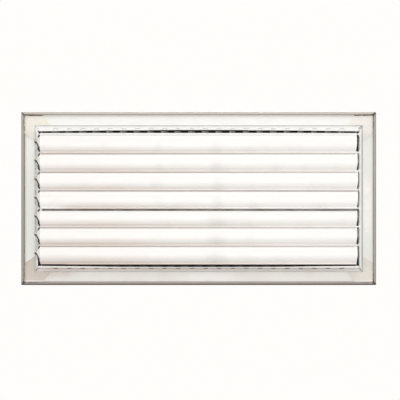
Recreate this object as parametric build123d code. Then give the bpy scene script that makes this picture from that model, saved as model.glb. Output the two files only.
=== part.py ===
from build123d import *
import math
import os

# Supply air register: mitred extruded face frame with a duct neck, a front
# row of individually turned vertical fins, and a rear multi-blade shutter whose
# blades are ganged by a link bar and worked by one lever.
#
# Frame: +X to the right and +Z up as seen from the duct side, +Y towards the
# room.  Y = 0 is the plane of the flange's rear rim, which lies on the wall.
# All sizes in millimetres.


# ---------------------------------------------------------------- dimensions
IN = 25.4
W, H = 19.5 * IN, 9.5 * IN          # overall face, nominal 18 x 8 in register
MITRE_GAP = 0.18                    # each side of a mitre, the joints are open hairlines

# frame section, d = distance inwards from the outer edge, y = depth
RIM_W, RIM_T, RIM_R = 4.2, 1.8, 1.6  # rear rim (rounded lip) that lies on the wall
SIDE_T = 1.4                        # outer edge wall
FLOOR_Y, FRONT_Y = 4.9, 6.5         # channel floor and front face
RIB_D, RIB_T, RIB_Y = 17.9, 0.6, 3.3  # low rib that locates the corner keys
GROOVE_T, GROOVE_Y = 1.1, 5.9         # groove beside the rib
NECK_D, NECK_T = 25.95, 1.25
LIP_Y1 = -32.0                      # the long walls' rear lip runs from the rear edge to here
TOP_LIP, BOTTOM_LIP = (92.1, 94.0), (92.3, 93.6)  # its inner edge, at the ends and in the middle
BEVEL_D0, BEVEL_D1, BEVEL_Y1 = 23.0, 32.0, 1.5
LIP_T = 1.5                         # thickness of the bevelled inner bezel

# shutter
N_BLADES, BLADE_PITCH = 7, 1.0 * IN
PIV_Y, PIV_Z1 = -34.0, 88.3         # pivot axis depth, height of top pivot
NECK_REAR = PIV_Y - 3.6             # rear edge of the neck
BLADE_X0, BLADE_X1 = -217.6, 217.4
BLADE_END = (-0.7, 0.2, 0.7, 0.6, -0.2, -0.3, 0.1)  # each blade's cut length, off BLADE_X1
BLADE_T, BEAD_R, ROD_R = 1.0, 2.0, 1.2
ARC_A, ARC_M, ARC_B = (-1.5, -0.6), (-5.9, -12.5), (-3.3, -24.5)
LIP_END, HEM_R = (-3.9, -25.6), 1.15  # rolled hem along the lower edge
AJAR_BLADE, AJAR_DEG = 4, 4.5       # one blade stands slightly off its seat
PIN_DY, PIN_DZ = -1.5, -9.5         # link pin from the blade's pivot
LUG_X0, LUG_X1 = -223.1, -222.3
BAR_X0, BAR_X1, BAR_W = -224.4, -223.3, 5.6
RIVET_R, RIVET_HOLE_R = 1.25, 1.30
BUSH_R, BUSH_BORE, BUSH_FL_R, BUSH_FL_T = 2.3, 1.25, 3.2, 0.9

# fins
N_FINS, FIN_PITCH = 22, 18.9
FIN_Y, FIN_TILT = -11.0, 25.0       # pivot depth, set angle in the photo
FIN_HALF = 93.1                     # half length of a fin
STUB_R, STUB_END = 2.0, 95.6
FBUSH_R, FBUSH_BORE, FBUSH_HEAD_R = 3.0, 2.05, 4.0
FBUSH_TOP = 97.6

# corner keys
KEY_OUT, KEY_IN, KEY_T = 28.0, 40.0, 1.6  # arm length at its outer and inner side, thickness

# screw holes through the short neck walls
SCREW_R, SCREW_Y, SCREW_Z = 2.1, -22.0, 50.8

# lever
LEVER_X, LEVER_T, LEVER_L, LEVER_DEG = -212.0, 2.0, 48.0, 40.0

NECK_HW, NECK_HH = W / 2 - NECK_D, H / 2 - NECK_D      # outer half sizes
NECK_IW, NECK_IH = NECK_HW - NECK_T, NECK_HH - NECK_T  # inner half sizes
PIV_Z = [PIV_Z1 - i * BLADE_PITCH for i in range(N_BLADES)]
FIN_X = [(i - (N_FINS - 1) / 2) * FIN_PITCH for i in range(N_FINS)]

os.makedirs("parts", exist_ok=True)


def save(shape, name):
    solids = shape.solids() if hasattr(shape, "solids") else ShapeList(shape)
    out = solids[0] if len(solids) == 1 else Compound(children=list(solids))
    out.label = name
    export_step(out, f"parts/{name}.step")


def yz_face(points):
    """Face in the YZ plane at X = 0 from (y, z) points."""
    wire = Wire.make_polygon([Vector(0, y, z) for y, z in points], close=True)
    return Face(wire)


def along_x(face, x0, x1):
    return Pos(x0, 0, 0) * Solid.extrude(face, Vector(x1 - x0, 0, 0))


def cyl(axis, centre, r, length):
    """Cylinder that starts at centre and runs along an axis letter."""
    turn = {"x": Rot(0, 90, 0), "y": Rot(-90, 0, 0), "z": Rot(0, 0, 0)}[axis]
    base = Cylinder(r, length, align=(Align.CENTER, Align.CENTER, Align.MIN))
    return Pos(*centre) * turn * base


def box(x0, x1, y0, y1, z0, z1):
    return Pos((x0 + x1) / 2, (y0 + y1) / 2, (z0 + z1) / 2) * Box(
        x1 - x0, y1 - y0, z1 - z0)


# ---------------------------------------------------------------- face frame
def frame_section():
    """Extrusion section as (d, y) edges, closed."""
    k = (BEVEL_Y1 - FRONT_Y) / (BEVEL_D1 - BEVEL_D0)
    n = math.hypot(1, k)
    off_d, off_y = k / n * LIP_T, -LIP_T / n      # towards the rear

    def bevel_rear(d):
        return FRONT_Y + off_y + k * (d - BEVEL_D0 - off_d)

    d_floor = BEVEL_D0 + off_d + (FLOOR_Y - FRONT_Y - off_y) / k
    q = RIM_R * (1 - math.sqrt(0.5))
    rib1 = RIB_D + RIB_T
    pts = [
        ("arc", (0, RIM_R), (q, q), (RIM_R, 0)),
        (RIM_W - RIM_R, 0),
        ("arc", (RIM_W - RIM_R, 0), (RIM_W - q, q), (RIM_W, RIM_R)),
        (RIM_W, RIM_T), (SIDE_T, RIM_T), (SIDE_T, FLOOR_Y),
        (RIB_D, FLOOR_Y), (RIB_D, RIB_Y), (rib1, RIB_Y), (rib1, GROOVE_Y),
        (rib1 + GROOVE_T, GROOVE_Y), (rib1 + GROOVE_T, FLOOR_Y), (d_floor, FLOOR_Y),
        (NECK_D, bevel_rear(NECK_D)), (NECK_D, NECK_REAR),
        (NECK_D + NECK_T, NECK_REAR),
        (NECK_D + NECK_T, bevel_rear(NECK_D + NECK_T)),
        (BEVEL_D1 + off_d, BEVEL_Y1 + off_y), (BEVEL_D1, BEVEL_Y1),
        (BEVEL_D0, FRONT_Y), (1.5, FRONT_Y),
        ("arc", (1.5, FRONT_Y), (0.44, FRONT_Y - 0.44), (0, FRONT_Y - 1.5)),
    ]
    return pts


def side_piece(place, half_len):
    """One mitred length. place(d, y) gives the 3-D point of the section at the
    piece's middle, half_len is the outer half length along the piece."""
    edges, last, first = [], None, None
    for p in frame_section():
        if p[0] == "arc":
            a, m, b = (place(*q) for q in p[1:])
            if last is not None and (last - a).length > 1e-6:
                edges.append(Edge.make_line(last, a))
            edges.append(Edge.make_three_point_arc(a, m, b))
            first = first or a
            last = b
        else:
            b = place(*p)
            if last is not None and (last - b).length > 1e-6:
                edges.append(Edge.make_line(last, b))
            first = first or b
            last = b
    edges.append(Edge.make_line(last, first))
    return Face(Wire(edges))


def mitre_prism(axis, sign):
    """Trapezoid prism that trims one length at 45 degrees."""
    depth = 40.0
    half, out = (W / 2, H / 2) if axis == "x" else (H / 2, W / 2)
    g = MITRE_GAP * math.sqrt(2)
    flat = [(-half + g, out), (half - g, out),
            (half - g - depth, out - depth), (-half + g + depth, out - depth)]
    pts = [(a, b * sign) if axis == "x" else (b * sign, a) for a, b in flat]
    wire = Wire.make_polygon([Vector(x, -60, z) for x, z in pts], close=True)
    return Solid.extrude(Face(wire), Vector(0, 90, 0))


frames = {}
for name, axis, sign in (("frame_top", "x", 1), ("frame_bottom", "x", -1),
                         ("frame_right", "z", 1), ("frame_left", "z", -1)):
    if axis == "x":
        face = side_piece(lambda d, y: Vector(0, y, sign * (H / 2 - d)), W / 2)
        long = Pos(-W / 2, 0, 0) * Solid.extrude(face, Vector(W, 0, 0))
    else:
        face = side_piece(lambda d, y: Vector(sign * (W / 2 - d), y, 0), H / 2)
        long = Pos(0, 0, -H / 2) * Solid.extrude(face, Vector(0, 0, H))
    if axis == "x":
        # the thin long walls bow outwards a little along their rear lip
        ends, mid = TOP_LIP if sign > 0 else BOTTOM_LIP
        v = lambda x, z: Vector(x, NECK_REAR, sign * z)
        bowed = Face(Wire([
            Edge.make_three_point_arc(v(-NECK_HW, ends), v(0, mid), v(NECK_HW, ends)),
            Edge.make_line(v(NECK_HW, ends), v(NECK_HW, NECK_HH)),
            Edge.make_line(v(NECK_HW, NECK_HH), v(-NECK_HW, NECK_HH)),
            Edge.make_line(v(-NECK_HW, NECK_HH), v(-NECK_HW, ends))]))
        long -= box(-W, W, NECK_REAR - 1, LIP_Y1, min(sign * 90, sign * 100), max(sign * 90, sign * 100))
        long += Solid.extrude(bowed, Vector(0, LIP_Y1 - NECK_REAR, 0))
    frames[name] = long & mitre_prism(axis, sign)

# fin bush holes in the long neck walls, rod bush and screw holes in the short
for x in FIN_X:
    frames["frame_top"] -= cyl("z", (x, FIN_Y, NECK_IH - 1), FBUSH_R, NECK_T + 2)
    frames["frame_bottom"] -= cyl("z", (x, FIN_Y, -NECK_HH - 1), FBUSH_R, NECK_T + 2)
for z in PIV_Z:
    frames["frame_left"] -= cyl("x", (-NECK_HW - 1, PIV_Y, z), BUSH_R, NECK_T + 2)
    frames["frame_right"] -= cyl("x", (NECK_IW - 1, PIV_Y, z), BUSH_R, NECK_T + 2)
for z in (-SCREW_Z, SCREW_Z):
    frames["frame_left"] -= cyl("x", (-NECK_HW - 1, SCREW_Y, z), SCREW_R, NECK_T + 2)
    frames["frame_right"] -= cyl("x", (NECK_IW - 1, SCREW_Y, z), SCREW_R, NECK_T + 2)
for name, shape in frames.items():
    save(shape, name)

# ---------------------------------------------------------------- corner keys
d0, d1 = SIDE_T + 0.05, RIB_D - 0.05
key_flat = [(d0, d0), (KEY_OUT, d0), (KEY_IN, d1), (d1, d1), (d1, KEY_IN), (d0, KEY_OUT)]
for name, sx, sz in (("corner_key_top_left", -1, 1), ("corner_key_top_right", 1, 1),
                     ("corner_key_bottom_left", -1, -1), ("corner_key_bottom_right", 1, -1)):
    pts = [Vector(sx * (W / 2 - a), FLOOR_Y - KEY_T, sz * (H / 2 - b)) for a, b in key_flat]
    key = Solid.extrude(Face(Wire.make_polygon(pts, close=True)), Vector(0, KEY_T, 0))
    save(key, name)

# ---------------------------------------------------------------- fins
def fin_face():
    """Teardrop fin section about the pivot, nose to the duct (-Y)."""
    rings = [Edge.make_circle(2.5, Plane(origin=(0, -6.5, 0))),
             Edge.make_circle(2.75, Plane(origin=(0, 0, 0))),
             Edge.make_circle(0.7, Plane(origin=(0, 8.3, 0)))]
    return make_hull(ShapeList(rings))


fin_flat = Rot(0, 0, -FIN_TILT) * fin_face()
fin_bar = extrude(fin_flat, amount=FIN_HALF, both=True)
fin_one = fin_bar + cyl("z", (0, 0, FIN_HALF - 0.5), STUB_R, STUB_END - FIN_HALF + 0.5) \
    + cyl("z", (0, 0, -STUB_END), STUB_R, STUB_END - FIN_HALF + 0.5)
for i, x in enumerate(FIN_X):
    save(Pos(x, FIN_Y, 0) * fin_one, f"fin_{i + 1:02d}")

bush_edge = [(FBUSH_BORE, NECK_IH), (FBUSH_R, NECK_IH), (FBUSH_R, NECK_HH),
             (FBUSH_HEAD_R, NECK_HH), (FBUSH_HEAD_R, NECK_HH + 1.3),
             (FBUSH_HEAD_R - 1.6, FBUSH_TOP), (0, FBUSH_TOP),
             (0, FBUSH_TOP - 1.2), (FBUSH_BORE, FBUSH_TOP - 1.2)]
bush_face = Face(Wire.make_polygon([Vector(r, 0, z) for r, z in bush_edge], close=True))
fin_bush = revolve(bush_face, Axis.Z, 360)
save(Compound(children=[s for x in FIN_X for s in (Pos(x, FIN_Y, 0) * fin_bush).solids()]),
     "fin_bushes_top")
save(Compound(children=[s for x in FIN_X
                        for s in (Pos(x, FIN_Y, 0) * Rot(180, 0, 0) * fin_bush).solids()]),
     "fin_bushes_bottom")

# ---------------------------------------------------------------- shutter blades
def circle_through(a, b, c):
    ax, ay, bx, by, cx, cy = *a, *b, *c
    d = 2 * (ax * (by - cy) + bx * (cy - ay) + cx * (ay - by))
    ux = ((ax**2 + ay**2) * (by - cy) + (bx**2 + by**2) * (cy - ay) + (cx**2 + cy**2) * (ay - by)) / d
    uy = ((ax**2 + ay**2) * (cx - bx) + (bx**2 + by**2) * (ax - cx) + (cx**2 + cy**2) * (bx - ax)) / d
    return (ux, uy), math.hypot(ax - ux, ay - uy)


ARC_C, ARC_R = circle_through(ARC_A, ARC_M, ARC_B)


def on_arc(ref, off):
    """Point at the angle of ref on the arc of radius ARC_R + off."""
    a = math.atan2(ref[1] - ARC_C[1], ref[0] - ARC_C[0])
    r = ARC_R + off
    return (ARC_C[0] + r * math.cos(a), ARC_C[1] + r * math.sin(a))


def at_z(z, off=0.0):
    """Point of the arc (rear side) at height z below the pivot."""
    r = ARC_R + off
    return (ARC_C[0] - math.sqrt(r * r - (z - ARC_C[1]) ** 2), z)


def band(p0, pm, p1, off0, off1):
    """Face between two concentric arcs of the blade's curve."""
    v = lambda q: Vector(0, q[0], q[1])
    e = [Edge.make_three_point_arc(*(v(on_arc(p, off1)) for p in (p0, pm, p1))),
         Edge.make_line(v(on_arc(p1, off1)), v(on_arc(p1, off0))),
         Edge.make_three_point_arc(*(v(on_arc(p, off0)) for p in (p1, pm, p0))),
         Edge.make_line(v(on_arc(p0, off0)), v(on_arc(p0, off1)))]
    return Face(Wire(e))


HALF_T = BLADE_T / 2
b_out, b_in = on_arc(ARC_B, HALF_T), on_arc(ARC_B, -HALF_T)
lx, lz = LIP_END[0] - ARC_B[0], LIP_END[1] - ARC_B[1]
ln = math.hypot(lx, lz)
nx, nz = lz / ln * HALF_T, -lx / ln * HALF_T      # towards the rear
plate_section = band(ARC_A, ARC_M, ARC_B, -HALF_T, HALF_T)
lip_section = yz_face([b_in, b_out, (LIP_END[0] + nx, LIP_END[1] + nz),
                       (LIP_END[0] - nx, LIP_END[1] - nz)])
EAR_LEN = BLADE_X0 - LUG_X0

# end ear: the curved plate runs on past the blade's end as a rounded triangle
ear_outline = [(BLADE_X0 + 0.5, -3.0), (BLADE_X0 - 1.5, -4.4), (BLADE_X0 - 4.4, -7.6),
               (LUG_X0, -8.6), (LUG_X0, -11.4), (BLADE_X0, -22.0), (BLADE_X0 + 0.5, -22.0)]
ear_prism = Solid.extrude(
    Face(Wire.make_polygon([Vector(x, -12, z) for x, z in ear_outline], close=True)),
    Vector(0, 14, 0))


def make_lug(reach):
    """Upright lug for the link pin, let into the ear by reach."""
    top, low = at_z(-8.2, reach), at_z(-11.8, reach)
    return along_x(yz_face([top, (PIN_DY - 1.0, PIN_DZ + 2.6), (PIN_DY - 1.0, PIN_DZ - 2.6), low]),
                   LUG_X0, LUG_X1) + cyl("x", (LUG_X0, PIN_DY, PIN_DZ), 2.8, LUG_X1 - LUG_X0)


def make_blade(ajar, x1):
    lug = make_lug(0.25 + math.sin(math.radians(ajar)) * 7.0)
    plate = along_x(plate_section, BLADE_X0, x1) + along_x(lip_section, BLADE_X0, x1) \
        + cyl("x", (BLADE_X0, *LIP_END), HEM_R, x1 - BLADE_X0)
    bead = cyl("x", (BLADE_X0, 0, 0), BEAD_R, x1 - BLADE_X0)
    ear = along_x(plate_section, LUG_X0, BLADE_X0 + 0.5) & ear_prism
    for a, b, z in ((BLADE_X0, BLADE_X0 + 1.6, -21.0), (x1, x1 - 1.8, -13.0)):
        out = a + math.copysign(3.0, a)
        cut = [(a, z), (b, -28.0), (out, -28.0), (out, z)]
        plate -= Solid.extrude(Face(Wire.make_polygon(
            [Vector(x, -12, zz) for x, zz in cut], close=True)), Vector(0, 14, 0))
    body = plate + bead
    if ajar:
        body = Rot(-ajar, 0, 0) * body
        ear = Rot(-ajar, 0, 0) * ear
    body = body + ear + lug
    body -= cyl("x", (LUG_X0 - 1, PIN_DY, PIN_DZ), RIVET_HOLE_R, LUG_X1 - LUG_X0 + 2)
    body -= cyl("x", (BLADE_X0 - 1, 0, 0), ROD_R, x1 - BLADE_X0 + 2)
    return body


rod = cyl("x", (-NECK_HW + 0.2, 0, 0), ROD_R, 2 * NECK_HW - 0.4)
for i, z in enumerate(PIV_Z):
    here = Pos(0, PIV_Y, z)
    ajar = AJAR_DEG if i + 1 == AJAR_BLADE else 0.0
    save(here * make_blade(ajar, BLADE_X1 + BLADE_END[i]), f"blade_{i + 1}")
    save(here * rod, f"blade_rod_{i + 1}")

rod_bush = cyl("x", (0, 0, 0), BUSH_R, NECK_T) + cyl("x", (NECK_T, 0, 0), BUSH_FL_R, BUSH_FL_T) \
    - cyl("x", (-1, 0, 0), BUSH_BORE, 5)
save(Compound(children=[s for z in PIV_Z for s in (Pos(-NECK_HW, PIV_Y, z) * rod_bush).solids()]),
     "blade_bushes_left")
save(Compound(children=[s for z in PIV_Z
                        for s in (Pos(NECK_HW, PIV_Y, z) * Rot(0, 180, 0) * rod_bush).solids()]),
     "blade_bushes_right")

# ---------------------------------------------------------------- link bar
link_y = PIV_Y + PIN_DY
z_top, z_bot = PIV_Z[0] + PIN_DZ, PIV_Z[-1] + PIN_DZ
bar = box(BAR_X0, BAR_X1, link_y - BAR_W / 2, link_y + BAR_W / 2, z_bot, z_top) \
    + cyl("x", (BAR_X0, link_y, z_top), BAR_W / 2, BAR_X1 - BAR_X0) \
    + cyl("x", (BAR_X0, link_y, z_bot), BAR_W / 2, BAR_X1 - BAR_X0)
rivets = []
for z in PIV_Z:
    c = z + PIN_DZ
    bar -= cyl("x", (BAR_X0 - 1, link_y, c), RIVET_R, 4)
    rivets += (cyl("x", (BAR_X0, link_y, c), RIVET_R, LUG_X1 + 0.3 - BAR_X0)
               + cyl("x", (BAR_X0 - 0.8, link_y, c), 2.1, 0.8)).solids()
save(bar, "link_bar")
save(Compound(children=rivets), "link_rivets")

# ---------------------------------------------------------------- lever
zl = PIV_Z[AJAR_BLADE - 1]
foot = along_x(band(at_z(-9.5), at_z(-14.0), at_z(-19.0), -HALF_T - 1.2, -HALF_T),
               LEVER_X - 1.0, LEVER_X + 9.0)
tip = (LEVER_L * math.cos(math.radians(LEVER_DEG)), LEVER_L * math.sin(math.radians(LEVER_DEG)))
root = at_z(-14.0, -HALF_T - 0.6)
ax_, az_ = tip[0] - root[0], tip[1] - root[1]
al = math.hypot(ax_, az_)
pz, py = ax_ / al, -az_ / al
arm_pts = [(root[0] + py * 2.6, root[1] + pz * 2.6), (tip[0] + py * 2.2, tip[1] + pz * 2.2),
           (tip[0] - py * 2.2, tip[1] - pz * 2.2), (root[0] - py * 2.6, root[1] - pz * 2.6)]
arm = along_x(yz_face(arm_pts), LEVER_X - LEVER_T / 2, LEVER_X + LEVER_T / 2)
arm -= along_x(band(at_z(-2.0), at_z(-10.0), at_z(-20.0), -HALF_T - 0.6, 6.0), -230, -190)
lever = Rot(-AJAR_DEG, 0, 0) * (foot + arm)
save(Pos(0, PIV_Y, zl) * lever, "damper_lever")

# moulded grip pushed over the lever's end
ux, uz = ax_ / al, az_ / al
g0 = (tip[0] - ux * 9.0, tip[1] - uz * 9.0)
g1 = (tip[0] + ux * 2.0, tip[1] + uz * 2.0)
grip_pts = [(g0[0] + py * 3.6, g0[1] + pz * 3.6), (g1[0] + py * 3.6, g1[1] + pz * 3.6),
            (g1[0] - py * 3.6, g1[1] - pz * 3.6), (g0[0] - py * 3.6, g0[1] - pz * 3.6)]
grip = along_x(yz_face(grip_pts), LEVER_X - 2.4, LEVER_X + 2.4)
grip = fillet(grip.edges().filter_by(Axis.X), 1.6)
grip = chamfer(grip.faces().filter_by(Axis.X).edges(), 0.6)
grip = Rot(-AJAR_DEG, 0, 0) * grip
grip = Pos(0, PIV_Y, zl) * grip - Pos(0, PIV_Y, zl) * (Rot(-AJAR_DEG, 0, 0) * arm)
save(grip, "lever_grip")

# ---------------------------------------------------------------- labels
save(box(W / 2 - 16.6, W / 2 - 6.2, FLOOR_Y - 0.15, FLOOR_Y, -47.4, 26.0), "flange_label")
tag = along_x(band(at_z(-4.2), at_z(-13.0), at_z(-23.6), HALF_T, HALF_T + 0.12),
              BLADE_X0 + 1.0, BLADE_X0 + 14.5)
save(Pos(0, PIV_Y, zl) * (Rot(-AJAR_DEG, 0, 0) * tag), "blade_label")
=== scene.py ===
"""Looks of the supply air register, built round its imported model.

Metres.  +X right and +Z up as seen from the duct side, +Y towards the room.
The camera looks along +Y at the duct side.
"""
import math

import bpy
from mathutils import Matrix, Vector

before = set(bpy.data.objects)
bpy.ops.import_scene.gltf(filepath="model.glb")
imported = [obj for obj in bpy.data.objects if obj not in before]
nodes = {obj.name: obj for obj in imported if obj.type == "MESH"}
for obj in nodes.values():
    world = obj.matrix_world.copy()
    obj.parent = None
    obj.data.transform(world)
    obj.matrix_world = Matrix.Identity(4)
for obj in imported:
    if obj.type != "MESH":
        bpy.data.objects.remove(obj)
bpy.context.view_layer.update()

W, H = 0.4953, 0.2413
PIV_Y, PIV_Z1, PITCH = -0.034, 0.0883, 0.0254


# ------------------------------------------------------------------ node helper
class Shade:
    """A material's node tree, with short calls for the nodes used here."""

    def __init__(self, name):
        self.mat = bpy.data.materials.new(name)
        self.mat.use_nodes = True
        self.nt = self.mat.node_tree
        self.nt.nodes.clear()
        self.out = self.nt.nodes.new("ShaderNodeOutputMaterial")
        self.bsdf = self.nt.nodes.new("ShaderNodeBsdfPrincipled")
        self.link(self.bsdf.outputs[0], self.out.inputs[0])
        tc = self.nt.nodes.new("ShaderNodeTexCoord")
        self.co = tc.outputs["Object"]
        sep = self.nt.nodes.new("ShaderNodeSeparateXYZ")
        self.link(self.co, sep.inputs[0])
        self.x, self.y, self.z = sep.outputs

    def link(self, a, b):
        self.nt.links.new(a, b)

    def put(self, sock, v):
        if hasattr(v, "is_linked") or hasattr(v, "links"):
            self.link(v, sock)
        else:
            sock.default_value = v

    def math(self, op, a, b=0.0, c=0.0, clamp=False):
        n = self.nt.nodes.new("ShaderNodeMath")
        n.operation, n.use_clamp = op, clamp
        for s, v in zip(n.inputs, (a, b, c)):
            self.put(s, v)
        return n.outputs[0]

    def step(self, v, lo, hi):
        """0 at lo, 1 at hi, smooth between; lo may be above hi."""
        n = self.nt.nodes.new("ShaderNodeMapRange")
        n.interpolation_type = "SMOOTHSTEP"
        n.clamp = True
        self.put(n.inputs["Value"], v)
        a, b, u, w = (lo, hi, 0.0, 1.0) if lo < hi else (hi, lo, 1.0, 0.0)
        for k, q in (("From Min", a), ("From Max", b), ("To Min", u), ("To Max", w)):
            n.inputs[k].default_value = q
        return n.outputs["Result"]

    def span(self, v, lo, hi, u, w):
        n = self.nt.nodes.new("ShaderNodeMapRange")
        n.clamp = True
        self.put(n.inputs["Value"], v)
        for k, q in (("From Min", lo), ("From Max", hi), ("To Min", u), ("To Max", w)):
            n.inputs[k].default_value = q
        return n.outputs["Result"]

    def noise(self, scale, detail=3.0, rough=0.5, stretch=None, seed=0.0):
        vec = self.co
        if stretch or seed:
            m = self.nt.nodes.new("ShaderNodeMapping")
            m.inputs["Scale"].default_value = stretch or (1, 1, 1)
            m.inputs["Location"].default_value = (seed, seed * 0.7, seed * 1.3)
            self.link(self.co, m.inputs["Vector"])
            vec = m.outputs[0]
        n = self.nt.nodes.new("ShaderNodeTexNoise")
        n.inputs["Scale"].default_value = scale
        n.inputs["Detail"].default_value = detail
        n.inputs["Roughness"].default_value = rough
        self.link(vec, n.inputs["Vector"])
        return n.outputs["Fac"]

    def mix(self, fac, a, b):
        n = self.nt.nodes.new("ShaderNodeMix")
        n.data_type = "RGBA"
        self.put(n.inputs[0], fac)
        for s, v in ((n.inputs[6], a), (n.inputs[7], b)):
            self.put(s, (*v, 1.0) if isinstance(v, tuple) and len(v) == 3 else v)
        return n.outputs[2]

    def bump(self, height, dist, strength=1.0, after=None):
        n = self.nt.nodes.new("ShaderNodeBump")
        n.inputs["Strength"].default_value = strength
        n.inputs["Distance"].default_value = dist
        self.link(height, n.inputs["Height"])
        if after is not None:
            self.link(after, n.inputs["Normal"])
        return n.outputs[0]

    def done(self, colour, rough, normal=None, metallic=0.0, spec=0.5, coat=0.0):
        b = self.bsdf.inputs
        self.put(b["Base Color"], (*colour, 1.0) if isinstance(colour, tuple) else colour)
        self.put(b["Roughness"], rough)
        b["Metallic"].default_value = metallic
        b["Specular IOR Level"].default_value = spec
        b["Coat Weight"].default_value = coat
        b["Coat Roughness"].default_value = 0.25
        if normal is not None:
            self.link(normal, b["Normal"])
        return self.mat


def paint_surface(s, peel=0.00004, seed=0.0):
    """Powder coat: fine orange peel and a slow roll of the sheet."""
    fine = s.noise(1100.0, 2.0, 0.5, seed=seed)
    slow = s.noise(28.0, 2.0, 0.4, seed=seed + 3.0)
    n = s.bump(slow, 0.0006, 0.25)
    return s.bump(fine, peel, 0.5, after=n)


# ------------------------------------------------------------------ materials
# dark colour for grime and for painted shade in crevices
GRIME_AND_SHADE = (0.060, 0.050, 0.042)


def crevice(s, reach, lo, hi):
    """1 deep in a crevice, 0 on open faces."""
    n = s.nt.nodes.new("ShaderNodeAmbientOcclusion")
    n.samples = 8
    n.inputs["Distance"].default_value = reach
    return s.step(n.outputs["AO"], hi, lo)


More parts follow.
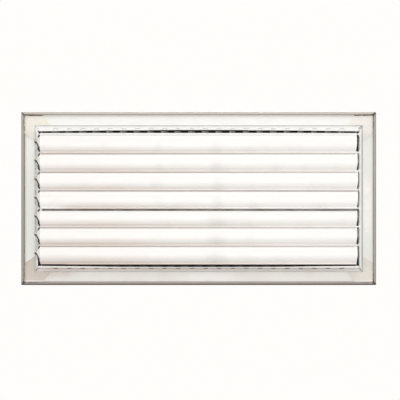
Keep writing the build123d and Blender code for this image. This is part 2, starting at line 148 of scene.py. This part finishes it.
def frame_paint():
    s = Shade("frame_paint_looks")
    ax, az = s.math("ABSOLUTE", s.x), s.math("ABSOLUTE", s.z)
    dx, dz = s.math("SUBTRACT", W / 2, ax), s.math("SUBTRACT", H / 2, az)
    d = s.math("MINIMUM", dx, dz)
    far = s.math("SUBTRACT", s.math("MAXIMUM", dx, dz), d)          # along the length, from the mitre
    rear = s.step(s.y, 0.0060, 0.0056)
    behind = s.math("ADD", s.y, s.math("MULTIPLY", s.math("SUBTRACT", d, 0.0230), 0.5556))   # 6.5 mm on the front bevel
    back = s.math("MULTIPLY", s.step(behind, 0.0054, 0.0051), rear)     # rear faces only, not the front bevel
    tone = s.noise(9.0, 3.0, 0.55)
    base = s.mix(s.span(tone, 0.35, 0.68, 0.0, 1.0), (0.812, 0.812, 0.790), (0.785, 0.792, 0.768))
    # fine die lines along each length
    lines = s.nt.nodes.new("ShaderNodeTexNoise")
    lines.noise_dimensions = "1D"
    lines.inputs["Scale"].default_value = 620.0
    lines.inputs["Detail"].default_value = 1.0
    s.link(d, lines.inputs["W"])
    base = s.mix(s.span(lines.outputs["Fac"], 0.35, 0.70, 0.0, 0.10), base, (0.60, 0.60, 0.58))
    base = s.mix(s.math("MULTIPLY", s.step(s.x, -0.215, -0.222), 0.6), base, (0.885, 0.885, 0.862))
    # the lower length painted warmer, darker and blotchy: painted shade and warm painted reflection of the lower side
    low = s.math("MULTIPLY", s.step(s.z, -0.088, -0.100), back)
    low_shade_blot = s.span(s.noise(34.0, 4.0, 0.6), 0.36, 0.66, 0.15, 1.0)
    base = s.mix(s.math("MULTIPLY", low, s.math("MULTIPLY", low_shade_blot, 0.42)), base, (0.76, 0.69, 0.64))
    stain = s.math("MULTIPLY", s.math("MULTIPLY", s.step(s.x, -0.150, -0.205), low), s.step(d, 0.0060, 0.0150))
    base = s.mix(s.math("MULTIPLY", stain, s.span(s.noise(70.0, 3.0, 0.6), 0.3, 0.65, 0.25, 0.60)), base, (0.52, 0.45, 0.39))
    wiped = s.math("MULTIPLY", s.math("MULTIPLY", s.step(s.x, -0.050, 0.005), s.step(s.x, 0.085, 0.030)), s.math("MULTIPLY", low, s.step(d, 0.0180, 0.0130)))
    base = s.mix(s.math("MULTIPLY", wiped, 0.55), base, (0.875, 0.855, 0.830))
    # rear rim: bare metal gone dull and brownish, the paint stops short of it; part of its tan darkness is painted
    # reflection of darker surroundings
    wob = s.math("MULTIPLY", s.math("SUBTRACT", s.noise(160.0, 3.0), 0.5), 0.0005)
    rim = s.math("MULTIPLY", s.step(s.math("ADD", d, wob), 0.0050, 0.0046),
                 s.step(s.math("ADD", s.y, wob), 0.0026, 0.0019))
    drawn = s.noise(220.0, 3.0, 0.6, stretch=(0.06, 1.0, 0.06))
    tan = s.mix(drawn, (0.365, 0.328, 0.280), (0.430, 0.388, 0.336))
    # painted shade: the rim darker towards the bottom
    tan = s.mix(s.span(s.z, 0.09, -0.09, 0.0, 0.26), tan, (0.26, 0.222, 0.185))
    # painted shade: a dark line along the inner edge of the right rim
    rim_inner_shade = s.math("MULTIPLY", s.step(d, 0.0030, 0.0040),
                   s.math("MULTIPLY", s.step(s.math("SUBTRACT", dz, dx), -0.0005, 0.0005), s.step(s.x, -0.01, 0.01)))
    tan = s.mix(s.math("MULTIPLY", rim_inner_shade, s.span(s.noise(300.0, 2.0), 0.3, 0.62, 0.15, 0.60)), tan, (0.150, 0.128, 0.108))
    # painted highlight: the top rim lighter; painted shade: the inner half of the top rim darker
    tan = s.mix(s.math("MULTIPLY", s.step(s.z, 0.1165, 0.1180), 0.36), tan, (0.66, 0.615, 0.55))
    tan = s.mix(s.math("MULTIPLY", s.step(s.z, 0.1180, 0.1168), s.math("MULTIPLY", s.step(s.z, 0.110, 0.111), s.step(s.math("SUBTRACT", dx, dz), -0.0005, 0.0005))), tan, (0.30, 0.265, 0.23))
    # painted shade: the right rim's outer edge darker
    tan = s.mix(s.math("MULTIPLY", s.step(s.x, 0.2455, 0.2470), 0.30), tan, (0.20, 0.175, 0.15))
    # painted highlight: the inner part of the bottom rim lighter; painted shade: its outer edge near black
    tan = s.mix(s.math("MULTIPLY", s.step(s.z, -0.1155, -0.1165), s.step(s.z, -0.1190, -0.1180)), tan, (0.44, 0.395, 0.35))
    tan = s.mix(s.math("MULTIPLY", s.step(s.z, -0.1178, -0.1194), 0.95), tan, (0.060, 0.048, 0.039))
    base = s.mix(rim, base, tan)
    # brown dirt and painted shade under the rim close to the corners
    nook_dirt_and_shade = s.math("MULTIPLY", s.math("MULTIPLY", s.step(d, 0.0062, 0.0040), s.step(d, 0.0024, 0.0030)),
                  s.math("MULTIPLY", s.step(far, 0.030, 0.012), rear))
    base = s.mix(s.math("MULTIPLY", nook_dirt_and_shade, s.span(s.noise(240.0, 2.0), 0.34, 0.6, 0.2, 0.8)), base, (0.13, 0.095, 0.075))
    # painted shade: the floor beside the left rim a darker tan
    ends = s.step(s.math("SUBTRACT", dz, dx), 0.0, 0.001)
    floor_ = s.math("MULTIPLY", s.step(d, 0.0036, 0.0040), rear)
    beside_rim_shade = s.math("MULTIPLY", s.math("MULTIPLY", s.step(s.x, -0.2428, -0.2431), ends), floor_)
    base = s.mix(s.math("MULTIPLY", beside_rim_shade, 0.85), base, (0.40, 0.36, 0.31))
    # painted shadow on the floor inside the rims: fading out from the left rim and from the top rim, and a strip along
    # the bottom rim
    left_rim_shadow = s.math("MULTIPLY", s.math("MULTIPLY", s.step(s.x, 0.01, -0.01), ends), s.span(dx, 0.0046, 0.0076, 0.22, 0.0))
    top_rim_shadow = s.math("MULTIPLY", s.math("MULTIPLY", s.step(s.z, -0.01, 0.01), s.span(ends, 0.0, 1.0, 1.0, 0.0)), s.math("MULTIPLY", s.step(dz, 0.0049, 0.0056), s.span(dz, 0.0056, 0.0082, 0.25, 0.0)))
    under_rim_shade = s.math("MULTIPLY", s.math("MULTIPLY", s.step(s.z, 0.01, -0.01), s.span(ends, 0.0, 1.0, 1.0, 0.0)), s.math("MULTIPLY", s.step(dz, 0.0058, 0.0050), 0.26))
    base = s.mix(s.math("MULTIPLY", s.math("ADD", s.math("ADD", left_rim_shadow, top_rim_shadow), under_rim_shade), floor_), base, (0.16, 0.140, 0.118))
    # painted shade: a dark line at the left rim's inner edge
    rim_edge_shade_line = s.math("MULTIPLY", beside_rim_shade, s.step(dx, 0.0038, 0.0042))
    base = s.mix(s.math("MULTIPLY", rim_edge_shade_line, s.span(s.noise(300.0, 2.0), 0.3, 0.62, 0.1, 0.6)), base, (0.15, 0.13, 0.11))
    # inside of the neck painted dark grey to near black, strongest deep down: painted shade
    long = s.step(s.math("SUBTRACT", dx, dz), -0.001, 0.001)
    deep = s.math("MAXIMUM", s.step(s.y, -0.0195, -0.0150), s.math("MULTIPLY", s.math("MAXIMUM", long, s.step(s.x, 0.01, -0.01)), 0.99))
    inside_shade = s.math("MULTIPLY", s.math("MULTIPLY", s.step(d, 0.0262, 0.0268), s.step(behind, 0.0054, 0.0051)), deep)
    inside_black = s.mix(long, (0.060, 0.056, 0.052), (0.025, 0.022, 0.020))
    upper = s.math("MULTIPLY", s.math("MULTIPLY", long, s.step(s.z, -0.01, 0.01)), s.step(ax, 0.035, 0.105))
    base = s.mix(s.math("MULTIPLY", inside_shade, s.step(s.math("SUBTRACT", s.y, s.math("MULTIPLY", upper, 0.0125)), -0.03758, -0.0374)), base, inside_black)
    # painted light: the bottom member inward of the groove lighter and warm, more to the left
    warm_bottom_strip_light = s.math("MULTIPLY", s.math("MULTIPLY", s.step(d, 0.0190, 0.0198), s.step(s.z, 0.01, -0.01)), s.math("MULTIPLY", long, s.math("SUBTRACT", 1.0, inside_shade)))
    base = s.mix(s.math("MULTIPLY", s.math("MULTIPLY", warm_bottom_strip_light, back), s.span(s.x, -0.18, 0.06, 0.62, 0.22)), base, (0.885, 0.800, 0.755))
    # painted shade: the bottom lip's inner edge painted black along its bow towards the middle, where the gap below the
    # blades is dark
    bow = s.math("ADD", s.math("SUBTRACT", az, 0.0936), s.math("MULTIPLY", s.math("MULTIPLY", s.x, s.x), 0.02676))
    bottom_gap_shade = s.math("MULTIPLY", s.math("MULTIPLY", s.step(bow, 0.00050, 0.00030), s.step(ax, 0.17, 0.11)),
                 s.math("MULTIPLY", s.step(s.z, 0.0, -0.01), s.step(s.y, -0.030, -0.031)))
    base = s.mix(s.math("MULTIPLY", bottom_gap_shade, 0.95), base, (0.030, 0.026, 0.023))
    # painted light: the top member inward of the groove a little lighter
    top_strip_light = s.math("MULTIPLY", s.math("MULTIPLY", s.step(d, 0.0198, 0.0204), s.step(s.z, -0.01, 0.01)), s.math("MULTIPLY", long, s.math("SUBTRACT", 1.0, inside_shade)))
    base = s.mix(s.math("MULTIPLY", top_strip_light, s.math("MULTIPLY", back, 0.85)), base, (0.832, 0.831, 0.812))
    # painted shade on the left member's rear-most faces under the blades' ears: a dark grey line, and the neck's rear
    # edge grey away from the corners
    left_line_shade = s.math("MULTIPLY", s.math("MULTIPLY", s.step(d, 0.0170, 0.0176), s.step(d, 0.0202, 0.0196)),
                  s.math("MULTIPLY", s.math("MULTIPLY", ends, s.step(s.x, 0.01, -0.01)), s.step(s.y, -0.0360, -0.0366)))
    base = s.mix(s.math("MULTIPLY", left_line_shade, s.span(s.noise(420.0, 2.0, stretch=(1.0, 1.0, 0.6)), 0.32, 0.62, 0.08, 0.60)), base, (0.17, 0.160, 0.148))
    left_edge_shade = s.math("MULTIPLY", s.math("MULTIPLY", s.step(d, 0.0190, 0.0197), s.step(d, 0.0278, 0.0274)),
                  s.math("MULTIPLY", s.math("MULTIPLY", s.step(s.math("SUBTRACT", dz, dx), 0.004, 0.012), s.step(s.x, 0.01, -0.01)), s.step(s.y, -0.0350, -0.0362)))
    base = s.mix(s.math("MULTIPLY", left_edge_shade, s.span(s.noise(360.0, 3.0, 0.6), 0.34, 0.64, 0.05, 0.80)), base, (0.30, 0.285, 0.255))
    # dirt in the mitre joints
    m = s.math("ABSOLUTE", s.math("SUBTRACT", dx, dz))
    mit = s.math("MULTIPLY", s.step(m, 0.0022, 0.0010),
                 s.span(s.noise(420.0, 2.0), 0.3, 0.6, 0.5, 1.0))
    clean = s.math("MULTIPLY", s.step(s.x, 0.01, -0.01), s.step(s.z, -0.01, 0.01))
    neck = s.math("MULTIPLY", s.math("MULTIPLY", s.step(d, 0.0176, 0.0186), s.span(clean, 0.0, 1.0, 1.0, 0.12)), s.span(d, 0.0225, 0.0258, 1.0, 0.0))
    mit = s.math("MAXIMUM", mit, s.math("MULTIPLY", rim, s.math("MULTIPLY", s.step(s.math("ADD", m, s.math("MULTIPLY", clean, 0.0011)), 0.0032, 0.0016), s.span(s.noise(420.0, 2.0), 0.3, 0.6, 0.7, 1.1))), clamp=True)
    where = s.math("MULTIPLY", s.math("MAXIMUM", rim, neck), back)
    base = s.mix(s.math("MULTIPLY", mit, s.span(where, 0.0, 1.0, 0.10, 0.95)), base, (0.050, 0.042, 0.035))
    # and a little in the groove, more of it at the two ends: dirt, and painted shade of the groove
    line = s.math("MULTIPLY", s.math("MULTIPLY", s.step(d, 0.0182, 0.0186), s.step(d, 0.0200, 0.0196)),
                  s.math("MULTIPLY", back, s.math("MAXIMUM", s.step(s.y, -0.0360, -0.0366), s.step(s.y, -0.0035, -0.0010))))
    sides = s.math("MULTIPLY", s.span(s.math("SUBTRACT", dz, dx), -0.001, 0.001, 0.10, 0.52), s.span(s.x, -0.01, 0.01, 1.0, 0.80))
    base = s.mix(s.math("MULTIPLY", line, s.math("MULTIPLY", sides, s.span(s.noise(380.0, 3.0), 0.32, 0.64, 0.35, 1.0))),
                 base, (0.16, 0.145, 0.13))
    # painted shade in crevices, with grime
    crevice_dirt_and_shade = s.math("MULTIPLY", crevice(s, 0.003, 0.08, 0.45), 0.30)
    base = s.mix(crevice_dirt_and_shade, base, GRIME_AND_SHADE)
    rough = s.span(s.noise(60.0, 3.0), 0.3, 0.7, 0.42, 0.55)
    rough = s.math("ADD", rough, s.math("MULTIPLY", inside_shade, 0.6), clamp=True)
    return s.done(base, rough, paint_surface(s), spec=0.4)


def fin_paint(name="fin_paint_looks"):
    s = Shade(name)
    base = s.mix(s.noise(30.0, 3.0, 0.55), (0.805, 0.805, 0.785), (0.77, 0.775, 0.755))
    # painted shade: the fins' upper ends darker and their lower ends near black, behind the neck's lips
    base = s.mix(s.math("MULTIPLY", s.step(s.z, 0.0870, 0.0900), 0.55), base, (0.36, 0.345, 0.325))
    fin_end_shade = s.step(s.z, -0.0865, -0.0892)
    base = s.mix(s.math("MULTIPLY", fin_end_shade, 0.99), base, (0.018, 0.016, 0.014))
    run = s.noise(500.0, 2.0, 0.5, stretch=(1.0, 1.0, 0.03))
    n = s.bump(run, 0.00003, 0.5)
    rough = s.math("ADD", s.span(s.noise(80.0), 0.3, 0.7, 0.40, 0.52), s.math("MULTIPLY", fin_end_shade, 0.5), clamp=True)
    return s.done(base, rough, s.bump(s.noise(1200.0, 2.0), 0.00004, 0.5, after=n), spec=0.4)


# painted shadow on each blade under the hem above it: how far down, how dark at the left and the right
HEM_SHADOW = {1: (0.0026, 0.27, 0.22), 2: (0.0036, 0.14, 0.05), 3: (0.0025, 0.46, 0.06), 4: (0.0036, 0.30, 0.36),
        5: (0.0037, 0.98, 0.86), 6: (0.0022, 0.58, 0.16), 7: (0.0022, 0.62, 0.22)}


def blade_paint(i):
    s = Shade(f"blade_{i}_looks")
    t = s.math("SUBTRACT", PIV_Z1 - PITCH * (i - 1), s.z)          # down from the pivot
    warm = s.span(s.math("ADD", s.x, s.math("MULTIPLY", s.noise(7.0, 2.0, seed=i), 0.12)), -0.2, 0.16, 1.0, 0.0)
    base = s.mix(s.math("MULTIPLY", warm, 0.6), (0.832, 0.822, 0.808), (0.832, 0.805, 0.785))
    # handling smudges, soft and faint, mostly low on the blade
    low = s.step(t, 0.006, 0.022)
    smudge = s.math("MULTIPLY", s.step(s.noise(16.0, 3.0, 0.6, seed=2.0 + i * 1.7), 0.50, 0.72), low)
    base = s.mix(s.math("MULTIPLY", smudge, 0.26), base, (0.58, 0.56, 0.53))
    # a grey patch in the middle and smaller ones beside it, low on each blade
    xw = s.math("ADD", s.x, s.math("MULTIPLY", s.math("SUBTRACT", s.noise(45.0, 3.0, seed=i), 0.5), 0.030))
    for c, w, k in ((0.025, 0.017, 0.13 + 0.016 * i), (-0.056, 0.011, 0.11 if i < 5 else 0.04), (0.070, 0.010, 0.06)):
        patch = s.math("MULTIPLY", s.math("MULTIPLY", s.step(xw, c - w, c), s.step(xw, c + w, c)), s.step(t, 0.004, 0.021))
        base = s.mix(s.math("MULTIPLY", patch, k), base, (0.40, 0.38, 0.36))
    # warm painted reflection low down on the left half
    warm_low_reflection = s.math("MULTIPLY", s.math("MULTIPLY", s.step(xw, -0.225, -0.140), s.step(xw, -0.045, -0.130)), s.step(t, 0.012, 0.023))
    base = s.mix(s.math("MULTIPLY", warm_low_reflection, 0.10 + 0.02 * i), base, (0.72, 0.55, 0.41))
    # painted shade above the hem, where the blade turns down, stronger on the left half
    left = s.span(s.x, -0.16, 0.12, 1.0, 0.26)
    lower_shade = s.math("ADD", s.math("MULTIPLY", s.step(t, 0.0085 if i == 7 else 0.0140, 0.0216), 0.36 + 0.08 * max(0, i - 4)), s.math("MULTIPLY", s.step(t, 0.0213, 0.0223), 0.64))
    lower_shade = s.math("MULTIPLY", lower_shade, s.step(t, 0.0250, 0.0236))
    if i == 4:      # the shade stops short of the label
        lower_shade = s.math("MULTIPLY", lower_shade, s.step(s.x, -0.202, -0.172))
    base = s.mix(s.math("MULTIPLY", lower_shade, s.math("MULTIPLY", left, 0.44 + 0.03 * i)), base, (0.56, 0.50, 0.46))
    # painted reflection: the hem tinted warm and darker, more on the left
    hem = s.step(t, 0.0240, 0.0248)
    tint = s.span(s.x, -0.16, 0.16, 1.0, 0.40) if i == 7 else s.span(s.x, -0.16, 0.16, 0.60 + 0.10 * (i == 6), 0.26 + 0.08 * (i > 4))
    if i == 4:
        tint = s.math("MULTIPLY", s.math("MULTIPLY", tint, s.step(s.x, -0.202, -0.172)), s.span(s.x, -0.02, 0.06, 1.0, 0.2))
    base = s.mix(s.math("MULTIPLY", hem, tint), base, (0.60, 0.50, 0.43))
    # painted shade: the hem's lower edge darker, near black on blade 7, and blade 7's hem darker at the left above the
    # bottom gap
    base = s.mix(s.math("MULTIPLY", s.step(t, 0.0259, 0.0263), {4: 0.04, 7: 0.95}.get(i, s.math("MULTIPLY", left, 0.13))), base, (0.075, 0.062, 0.052))
    if i == 7:
        base = s.mix(s.math("MULTIPLY", s.math("MULTIPLY", s.step(t, 0.0252, 0.0256), s.step(s.x, -0.165, -0.195)), 0.85), base, (0.075, 0.062, 0.052))
    # painted shade: blade 1's upper edge black in the dark close under the neck
    if i == 1:      # black upper edge, close under the neck
        base = s.mix(s.math("MULTIPLY", s.step(t, -0.00145, -0.0019), 0.95), base, (0.030, 0.026, 0.023))
    # painted shadow line where the next blade's hem rests
    tl = s.math("SUBTRACT", t, s.span(s.x, -0.02, 0.06, 0.0, 0.0002)) if i == 5 else t
    hem_shadow_line = s.math("MULTIPLY", s.step(t, 0.0002, 0.0007), s.step(tl, HEM_SHADOW[i][0], HEM_SHADOW[i][0] - (0.0003 if i == 5 else 0.0007)))
    if i == 5:
        hem_shadow_line = s.math("MULTIPLY", hem_shadow_line, s.step(s.x, -0.2160, -0.2135))
    base = s.mix(s.math("MULTIPLY", hem_shadow_line, s.math("MULTIPLY", s.span(s.noise(60.0, 2.0, seed=i), 0.3, 0.7, 0.8, 1.0), s.span(s.x, -0.12, 0.12, *HEM_SHADOW[i][1:]))), base, (0.075, 0.062, 0.052))
    # the ear past the blade's end is unpainted and dull; its left part is painted shade, darker, and its lower edge is
    # painted shade, black
    ear = s.step(s.x, -0.2174, -0.2178)
    mott = s.mix(s.noise(500.0, 3.0, 0.6), (0.58, 0.56, 0.51), (0.70, 0.68, 0.635))
    mott = s.mix(s.math("MULTIPLY", s.step(s.x, -0.2200, -0.2228), 0.45), mott, (0.36, 0.345, 0.31))
    edge = s.math("ADD", s.math("MULTIPLY", s.math("ADD", s.x, 0.2176), 0.888),
                  s.math("MULTIPLY", s.math("SUBTRACT", 0.0220, t), 0.461))
    mott = s.mix(s.math("MULTIPLY", s.step(edge, 0.0021, 0.0014), s.step(t, 0.0092, 0.0108)), mott, (0.030, 0.027, 0.024))
    base = s.mix(ear, base, mott)
    # painted shade in crevices, with grime
    crevice_dirt_and_shade = s.math("MULTIPLY", crevice(s, 0.003, 0.08, 0.50), {4: 0.15, 5: 0.20}.get(i, 0.50))
    base = s.mix(crevice_dirt_and_shade, base, (0.09, 0.072, 0.060))
    rough = s.span(s.noise(45.0, 3.0, seed=i), 0.3, 0.7, 0.36, 0.5)
    draw = s.noise(260.0, 2.0, 0.5, stretch=(0.02, 1.0, 1.0), seed=i)
    n = s.bump(draw, 0.00003, 0.5, after=paint_surface(s, seed=i))
    return s.done(base, rough, n, spec=0.4)


def key_plastic(name, a, b, under_rim_shade):
    s = Shade(name)
    base = s.mix(s.noise(90.0, 4.0, 0.6), a, b)
    spots = s.step(s.noise(700.0, 2.0), 0.55, 0.70)
    base = s.mix(s.math("MULTIPLY", spots, 0.30), base, (0.52, 0.45, 0.36))
    dx = s.math("SUBTRACT", W / 2, s.math("ABSOLUTE", s.x))
    dz = s.math("SUBTRACT", H / 2, s.math("ABSOLUTE", s.z))
    # painted shade: dark under the rim along the top and bottom edges, strongest on the top keys, and beside the side
    # rims
    along_top = s.step(dz, 0.0060, 0.0048)
    along_side = s.step(dx, 0.0062, 0.0050)
    base = s.mix(s.math("MULTIPLY", along_top, s.span(s.noise(210.0, 2.0), 0.34, 0.58, *under_rim_shade)), base, (0.085, 0.060, 0.046))
    # painted highlight: a light band on the bottom keys just inside the rim
    rim_slope_highlight = s.math("MULTIPLY", s.step(s.z, 0.0, -0.01), s.step(dz, 0.0068, 0.0061))
    base = s.mix(s.math("MULTIPLY", rim_slope_highlight, s.step(dz, 0.0046, 0.0050)), base, (0.80, 0.775, 0.745))
    base = s.mix(s.math("MULTIPLY", along_side, s.span(s.noise(520.0, 2.0), 0.40, 0.62, 0.05, 0.75 if "left" in name else 0.40)), base, (0.16, 0.135, 0.115))
    # painted shade in crevices, with grime
    base = s.mix(s.math("MULTIPLY", crevice(s, 0.003, 0.10, 0.55), 0.5), base, GRIME_AND_SHADE)
    return s.done(base, s.span(s.noise(200.0), 0.3, 0.7, 0.52, 0.66), s.bump(s.noise(900.0, 3.0), 0.00006, 0.6), spec=0.35)


def nylon(name, a, b):
    s = Shade(name)
    base = s.mix(s.noise(300.0, 3.0), a, b)
    return s.done(base, s.span(s.noise(500.0), 0.3, 0.7, 0.42, 0.55), s.bump(s.noise(1500.0, 2.0), 0.00003, 0.5), spec=0.5)


def steel(name, tint, rough, axis_stretch):
    s = Shade(name)
    grain = s.noise(900.0, 3.0, 0.6, stretch=axis_stretch)
    base = s.mix(grain, tuple(c * 0.86 for c in tint), tint)
    # painted shade in crevices, with grime
    base = s.mix(s.math("MULTIPLY", crevice(s, 0.003, 0.10, 0.60), 0.6), base, GRIME_AND_SHADE)
    return s.done(base, s.span(grain, 0.25, 0.75, rough - 0.06, rough + 0.08),
                  s.bump(grain, 0.00002, 0.5), metallic=0.55, spec=0.5)


def link_steel():
    s = Shade("link_steel_looks")
    grain = s.noise(900.0, 3.0, 0.6, stretch=(1.0, 1.0, 0.05))
    base = s.mix(grain, (0.58, 0.57, 0.53), (0.68, 0.67, 0.63))
    base = s.mix(s.span(s.noise(330.0, 3.0, 0.6), 0.38, 0.62, 0.0, 0.80), base, (0.26, 0.245, 0.215))
    # painted shadow below each pin, black, where the ears shade the bar
    t = s.math("FLOORED_MODULO", s.math("SUBTRACT", PIV_Z1 + 4 * PITCH, s.z), PITCH)
    run = s.math("MULTIPLY", s.step(t, 0.0092, 0.0100), s.step(t, 0.0134, 0.0122))
    base = s.mix(s.math("MULTIPLY", run, s.span(s.noise(300.0, 2.0), 0.3, 0.6, 0.75, 0.95)), base, (0.030, 0.027, 0.024))
    return s.done(base, s.span(grain, 0.25, 0.75, 0.42, 0.58), s.bump(grain, 0.00002, 0.5), metallic=0.45, spec=0.5)


def film():
    s = Shade("label_film_looks")
    base = s.mix(s.noise(40.0, 3.0), (0.840, 0.826, 0.800), (0.826, 0.810, 0.780))
    return s.done(base, s.span(s.noise(90.0), 0.3, 0.7, 0.22, 0.32), s.bump(s.noise(60.0, 2.0), 0.00008, 0.4), spec=0.45)


def grip():
    s = Shade("grip_plastic_looks")
    base = s.mix(s.noise(120.0, 3.0), (0.76, 0.75, 0.71), (0.70, 0.69, 0.65))
    return s.done(base, 0.5, s.bump(s.noise(2600.0, 2.0), 0.00005, 0.7), spec=0.45)


# the bottom fin bushes get a darker, browner copy of the nylon: dirt and painted shade
mats = {"frame": frame_paint(), "fin": fin_paint(), "nylon": nylon("bush_nylon_looks", (0.80, 0.785, 0.75), (0.73, 0.71, 0.66)),
        "nylon_low": nylon("dusty_nylon_looks", (0.60, 0.52, 0.465), (0.47, 0.395, 0.345)), "lever": fin_paint("lever_paint_looks"),
        "rod": steel("rod_steel_looks", (0.84, 0.84, 0.82), 0.34, (0.03, 1.0, 1.0)),
        "link": link_steel(),
        "film": film(), "grip": grip()}
# one plastic for the four corner keys: the bottom ones darker, tanner copies as painted shade, with some random tone;
# the last pair is the painted shade under the rim
key_tones_lit_and_shaded = {"top_left": ((0.80, 0.775, 0.700), (0.755, 0.725, 0.640), (0.45, 0.95)),
        "top_right": ((0.79, 0.765, 0.732), (0.755, 0.722, 0.675), (0.45, 0.95)),
        "bottom_left": ((0.665, 0.605, 0.540), (0.605, 0.540, 0.475), (0.0, 0.10)),
        "bottom_right": ((0.745, 0.715, 0.660), (0.690, 0.655, 0.595), (0.0, 0.10))}


def wear(node, mat):
    o = nodes[node]
    o.data.materials.clear()
    o.data.materials.append(mat)
    return o


def soften(o, width, segments=2):
    b = o.modifiers.new("edge", "BEVEL")
    b.width, b.segments, b.limit_method = width, segments, "ANGLE"
    b.angle_limit = math.radians(35)
    b.use_clamp_overlap = True
    b.harden_normals = False


for n in nodes:
    if n.startswith("frame_"):
        wear(n, mats["frame"])
    elif n.startswith("corner_key_"):
        where = n.replace("corner_key_", "")
        soften(wear(n, key_plastic(f"key_{where}_looks", *key_tones_lit_and_shaded[where])), 0.0004)
    elif n.startswith("fin_bushes") or n.startswith("blade_bushes"):
        wear(n, mats["nylon_low" if n == "fin_bushes_bottom" else "nylon"])
    elif n.startswith("fin_"):
        wear(n, mats["fin"])
    elif n.startswith("blade_rod_"):
        wear(n, mats["rod"])
    elif n in ("blade_label", "flange_label"):
        wear(n, mats["film"])
    elif n.startswith("blade_"):
        wear(n, blade_paint(int(n[-1])))
    elif n.startswith("link_"):
        wear(n, mats["link"])
    elif n == "damper_lever":
        wear(n, mats["lever"])
    elif n == "lever_grip":
        wear(n, mats["grip"])

# ------------------------------------------------------------------ stage
me = bpy.data.meshes.new("floor")
me.from_pydata([(-5, -5, -0.5), (5, -5, -0.5), (5, 1.5, -0.5), (-5, 1.5, -0.5)], [], [(0, 1, 2, 3)])
floor = bpy.data.objects.new("floor", me)
bpy.context.scene.collection.objects.link(floor)
s = Shade("floor_looks")
floor.data.materials.append(s.done(s.mix(s.noise(3.0, 2.0), (0.80, 0.77, 0.73), (0.78, 0.75, 0.71)), 0.8, spec=0.1))
s.bsdf.inputs["Emission Color"].default_value = (1.0, 0.98, 0.955, 1.0)
s.bsdf.inputs["Emission Strength"].default_value = 0.42
floor.visible_diffuse = floor.visible_glossy = floor.visible_shadow = False

scene = bpy.context.scene
world = bpy.data.worlds.new("studio")
scene.world = world
world.use_nodes = True
nt = world.node_tree
nt.nodes.clear()
wout = nt.nodes.new("ShaderNodeOutputWorld")
light_bg = nt.nodes.new("ShaderNodeBackground")
seen_bg = nt.nodes.new("ShaderNodeBackground")
pick = nt.nodes.new("ShaderNodeMixShader")
path = nt.nodes.new("ShaderNodeLightPath")
nt.links.new(path.outputs["Is Camera Ray"], pick.inputs[0])
nt.links.new(light_bg.outputs[0], pick.inputs[1])
nt.links.new(seen_bg.outputs[0], pick.inputs[2])
nt.links.new(pick.outputs[0], wout.inputs[0])
tc = nt.nodes.new("ShaderNodeTexCoord")
sep = nt.nodes.new("ShaderNodeSeparateXYZ")
nt.links.new(tc.outputs["Generated"], sep.inputs[0])
ramp = nt.nodes.new("ShaderNodeValToRGB")
stops = ((0.28, (0.100, 0.096, 0.078)), (0.40, (0.41, 0.395, 0.40)), (0.48, (0.42, 0.41, 0.41)), (0.52, (1.0, 0.985, 0.985)),
         (0.60, (1.0, 0.985, 0.985)), (0.70, (0.06, 0.06, 0.06)))
bar = ramp.color_ramp.elements
while len(bar) < len(stops):
    bar.new(0.5)
for e, (at, c) in zip(bar, stops):
    e.position = at
    e.color = (*c, 1.0)
half = nt.nodes.new("ShaderNodeMapRange")
half.inputs["From Min"].default_value, half.inputs["From Max"].default_value = -1.0, 1.0
nt.links.new(sep.outputs[2], half.inputs["Value"])
nt.links.new(half.outputs[0], ramp.inputs[0])
side = nt.nodes.new("ShaderNodeMapRange")
side.interpolation_type = "SMOOTHSTEP"
for k, v in (("From Min", -0.45), ("From Max", 0.10), ("To Min", 2.05), ("To Max", 0.12)):
    side.inputs[k].default_value = v
nt.links.new(sep.outputs[1], side.inputs["Value"])
nt.links.new(ramp.outputs[0], light_bg.inputs[0])
nt.links.new(side.outputs[0], light_bg.inputs[1])
seen_bg.inputs[0].default_value = (1.0, 0.985, 0.965, 1.0)


def area(name, loc, aim, size, power, colour=(1, 1, 1)):
    d = bpy.data.lights.new(name, "AREA")
    d.shape, d.size, d.energy, d.color = "DISK", size, power, colour
    o = bpy.data.objects.new(name, d)
    o.location = loc
    o.rotation_euler = (Vector(aim) - Vector(loc)).to_track_quat("-Z", "Y").to_euler()
    o.visible_camera = False
    scene.collection.objects.link(o)
    return o


area("key", (0.2, -1.2, 2.1), (0, 0, 0), 1.4, 21.0, (1.0, 0.995, 0.965))
area("front", (0.0, -2.3, 0.16), (0, 0, 0), 0.6, 12.6, (1.0, 0.998, 0.988))
area("front_low", (0.0, -2.2, -0.47), (0, 0, 0), 0.6, 5.4, (1.0, 0.995, 0.98))
area("room", (0.0, 3.6, 1.7), (0, 0, 0), 1.4, 150.0, (1.0, 0.99, 0.975))
area("room_low", (1.5, 0.9, -0.9), (0, 0, 0), 0.8, 7.0, (1.0, 0.99, 0.975))

# ------------------------------------------------------------------ camera
PX = 0.001395                      # metres per pixel in the rim's plane
DIST = 2.1
cam_data = bpy.data.cameras.new("camera")
cam_data.sensor_width = 36.0
cam_data.lens = 36.0 * DIST / (400 * PX)
cam = bpy.data.objects.new("camera", cam_data)
cam.location = (1.3 * PX, -DIST, -1.45 * PX)
cam.rotation_euler = (math.radians(90), 0, 0)
cam_data.clip_start, cam_data.clip_end = 0.05, 60.0
scene.collection.objects.link(cam)
scene.camera = cam

scene.view_settings.view_transform = "Standard"
scene.view_settings.look = "None"
